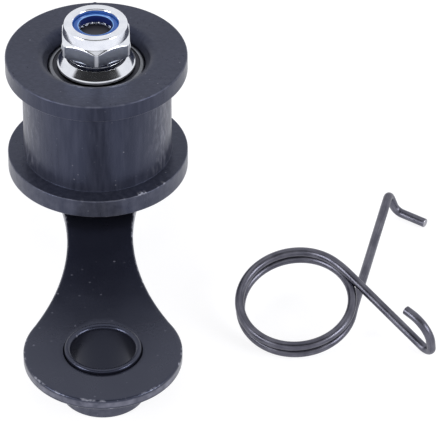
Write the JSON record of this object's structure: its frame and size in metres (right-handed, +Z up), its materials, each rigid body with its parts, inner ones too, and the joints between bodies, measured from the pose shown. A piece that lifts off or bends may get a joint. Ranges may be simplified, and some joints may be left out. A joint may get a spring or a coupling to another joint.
{
  "type": "chain tensioner",
  "caption": "Chain tensioner: a flanged roller on shielded ball bearings at the end of a flat waisted arm with a pivot bush, and its torsion spring lying beside it.",
  "frame": {"origin": "on the pivot bore's axis at the bush's lower face, which is the surface the part lies on", "axes": "+Z up along the pivot bore, +Y along the arm to the roller, +X to the side where the spring lies"},
  "size_m": [0.0824, 0.0884, 0.0454],
  "materials": {
    "black_coat": "satin black coat",
    "roller_polymer": "moulded, matte",
    "zinc_plate": "bright zinc plate",
    "blue_nylon": "smooth nylon",
    "bearing_steel": "ground",
    "cage_steel": "pressed",
    "spring_wire": "oiled dark wire"
  },
  "bodies": {
    "arm": {"arm_plate": "black_coat", "pivot_bush": "black_coat", "axle_bolt": "zinc_plate", "lower_collar": "zinc_plate", "bearing_spacer": "zinc_plate", "upper_collar": "zinc_plate", "lock_nut": "zinc_plate", "nut_insert": "blue_nylon", "torsion_spring": "spring_wire", "lower_bearing_inner_ring": "bearing_steel", "upper_bearing_inner_ring": "bearing_steel"},
    "roller": {"roller": "roller_polymer", "lower_bearing_outer_ring": "bearing_steel", "lower_bearing_outer_shield": "bearing_steel", "lower_bearing_inner_shield": "bearing_steel", "upper_bearing_outer_ring": "bearing_steel", "upper_bearing_outer_shield": "bearing_steel", "upper_bearing_inner_shield": "bearing_steel"},
    "lower_ball_set": {"lower_bearing_balls": "bearing_steel", "lower_bearing_cage": "cage_steel"},
    "upper_ball_set": {"upper_bearing_balls": "bearing_steel", "upper_bearing_cage": "cage_steel"}
  },
  "joints": [
    {"name": "roller_spin", "type": "hinge", "parent": "arm", "child": "roller", "pos_m": [0, 0.056, 0.0248], "axis": [0, 0, 1], "continuous": true},
    {"name": "lower_cage_orbit", "type": "hinge", "parent": "arm", "child": "lower_ball_set", "pos_m": [0, 0.056, 0.0169], "axis": [0, 0, 1], "continuous": true},
    {"name": "upper_cage_orbit", "type": "hinge", "parent": "arm", "child": "upper_ball_set", "pos_m": [0, 0.056, 0.0328], "axis": [0, 0, 1], "continuous": true}
  ],
  "couplings": [
    {"joint": "lower_cage_orbit", "follows": "roller_spin", "ratio": 0.61716},
    {"joint": "upper_cage_orbit", "follows": "roller_spin", "ratio": 0.61716}
  ]
}
